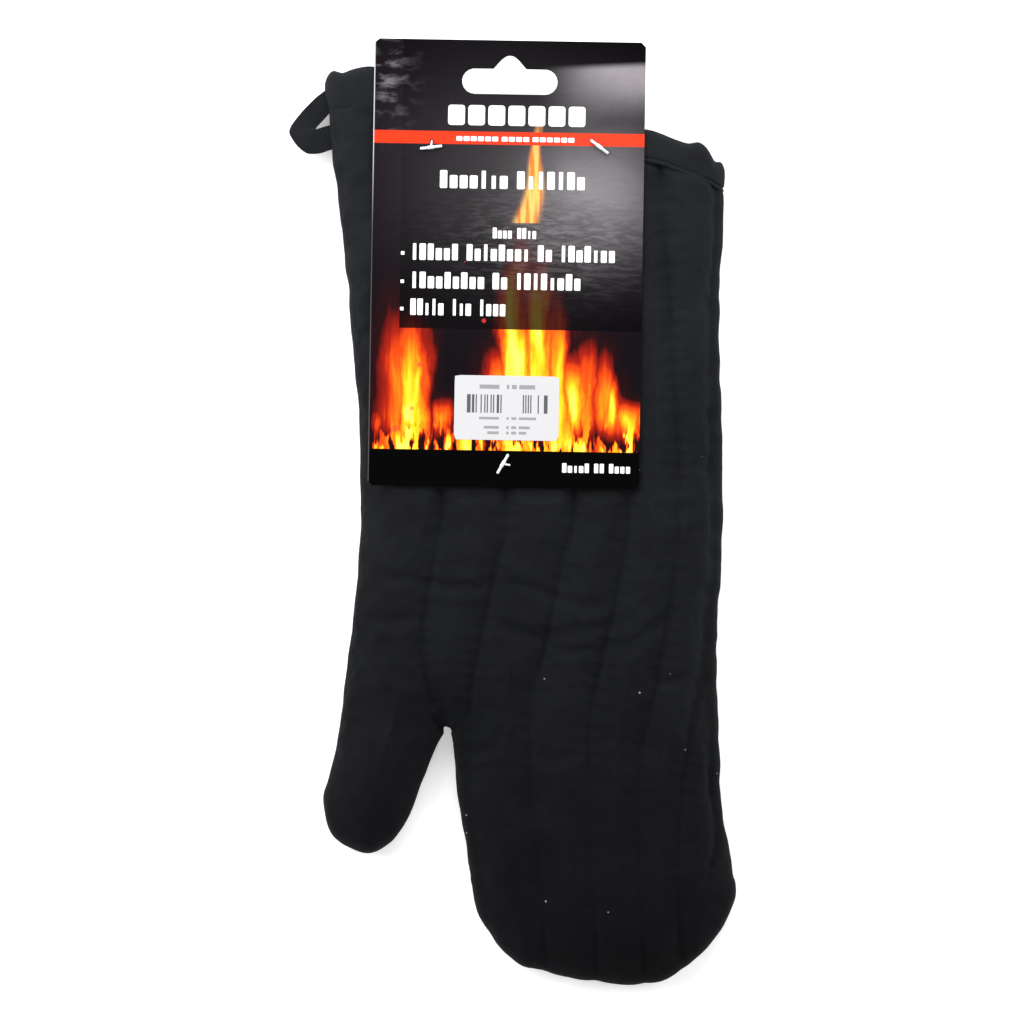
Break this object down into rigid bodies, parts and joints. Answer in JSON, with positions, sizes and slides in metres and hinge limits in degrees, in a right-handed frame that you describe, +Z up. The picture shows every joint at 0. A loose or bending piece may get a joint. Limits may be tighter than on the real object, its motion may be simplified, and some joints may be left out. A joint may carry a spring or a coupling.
{
  "type": "grill mitt",
  "caption": "Long quilted black cotton grilling mitt with a thumb, bound cuff and hanging loop, lying palm up under a printed retail card held on by nylon fasteners.",
  "frame": {"origin": "on the table under the back panel, in the middle of the mitt's width and length", "axes": "+X across the mitt away from the thumb, +Y along it towards the cuff, +Z up from the table through the back panel to the front panel and card"},
  "size_m": [0.1893, 0.4016, 0.0285],
  "materials": {
    "shell_cotton": "matt woven black cotton, quilted",
    "batting": "soft grey padding, hidden between the shell and the lining",
    "lining_cotton": "matt brushed cotton",
    "binding_cotton": "matt woven tape",
    "loop_tape": "matt woven tape",
    "printed_card": null,
    "label_paper": "matt white paper with plain dark bars",
    "nylon": "milky translucent nylon"
  },
  "bodies": {
    "gauntlet": {"front_shell_gauntlet": "shell_cotton", "front_batting_gauntlet": "batting", "front_lining_gauntlet": "lining_cotton", "back_shell_gauntlet": "shell_cotton", "back_batting_gauntlet": "batting", "back_lining_gauntlet": "lining_cotton", "cuff_binding": "binding_cotton", "seam_allowance_left": "lining_cotton", "seam_allowance_right": "lining_cotton", "seam_allowance_notch": "lining_cotton", "header_card": "printed_card", "barcode_label": "label_paper", "tag_fastener_left": "nylon", "tag_fastener_right": "nylon", "tag_fastener_bottom": "nylon"},
    "fingers": {"front_shell_fingers": "shell_cotton", "front_batting_fingers": "batting", "front_lining_fingers": "lining_cotton", "back_shell_fingers": "shell_cotton", "back_batting_fingers": "batting", "back_lining_fingers": "lining_cotton", "seam_allowance_fingers": "lining_cotton"},
    "thumb": {"front_shell_thumb": "shell_cotton", "front_batting_thumb": "batting", "front_lining_thumb": "lining_cotton", "back_shell_thumb": "shell_cotton", "back_batting_thumb": "batting", "back_lining_thumb": "lining_cotton", "seam_allowance_thumb": "lining_cotton"},
    "loop": {"hanging_loop": "loop_tape"}
  },
  "joints": [
    {"name": "finger_flex", "type": "hinge", "parent": "gauntlet", "child": "fingers", "pos_m": [0.024, -0.088, 0.026], "axis": [-1, 0, 0], "range_deg": [0, 80]},
    {"name": "thumb_flex", "type": "hinge", "parent": "gauntlet", "child": "thumb", "pos_m": [-0.06, -0.088, 0.026], "axis": [-1, 0, 0], "range_deg": [0, 70]},
    {"name": "loop_swing", "type": "hinge", "parent": "gauntlet", "child": "loop", "pos_m": [-0.0864, 0.171, 0.007], "axis": [0, 1, 0], "range_deg": [-5, 40]}
  ]
}
